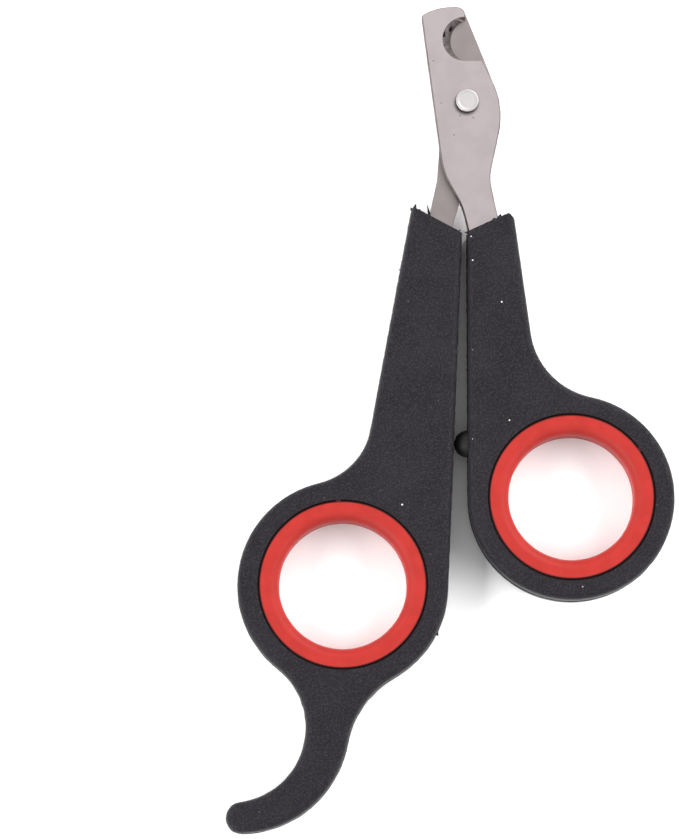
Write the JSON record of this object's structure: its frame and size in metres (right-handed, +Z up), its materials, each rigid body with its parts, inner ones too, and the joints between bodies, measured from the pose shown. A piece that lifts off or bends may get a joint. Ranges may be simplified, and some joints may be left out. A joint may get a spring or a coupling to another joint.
{
  "type": "scissor nail clipper",
  "caption": "Pet nail scissor with two notched steel blades on a rivet, black plastic ring handles with red ring inserts, and a curved finger rest.",
  "frame": {"origin": "centre of the closed clipper's outline, on the surface that it lies on", "axes": "+Y towards the blade tips, +X towards the right handle, +Z up from the surface, along the rivet"},
  "size_m": [0.0694, 0.13, 0.0064],
  "materials": {
    "blade_steel": "satin ground stainless steel",
    "rivet_steel": "bright turned steel",
    "handle_plastic": "black moulded plastic, satin",
    "ring_plastic": "red soft moulded plastic",
    "bumper_rubber": "black rubber"
  },
  "bodies": {
    "right_half": {"right_handle": "handle_plastic", "right_ring_insert": "ring_plastic", "front_blade": "blade_steel", "pivot_rivet": "rivet_steel", "stop_bumper": "bumper_rubber"},
    "left_half": {"left_handle": "handle_plastic", "left_ring_insert": "ring_plastic", "rear_blade": "blade_steel"}
  },
  "joints": [
    {"name": "blade_pivot", "type": "hinge", "parent": "right_half", "child": "left_half", "pos_m": [0.00282, 0.04966, 0.0032], "axis": [0, 0, -1], "range_deg": [0, 42]}
  ]
}
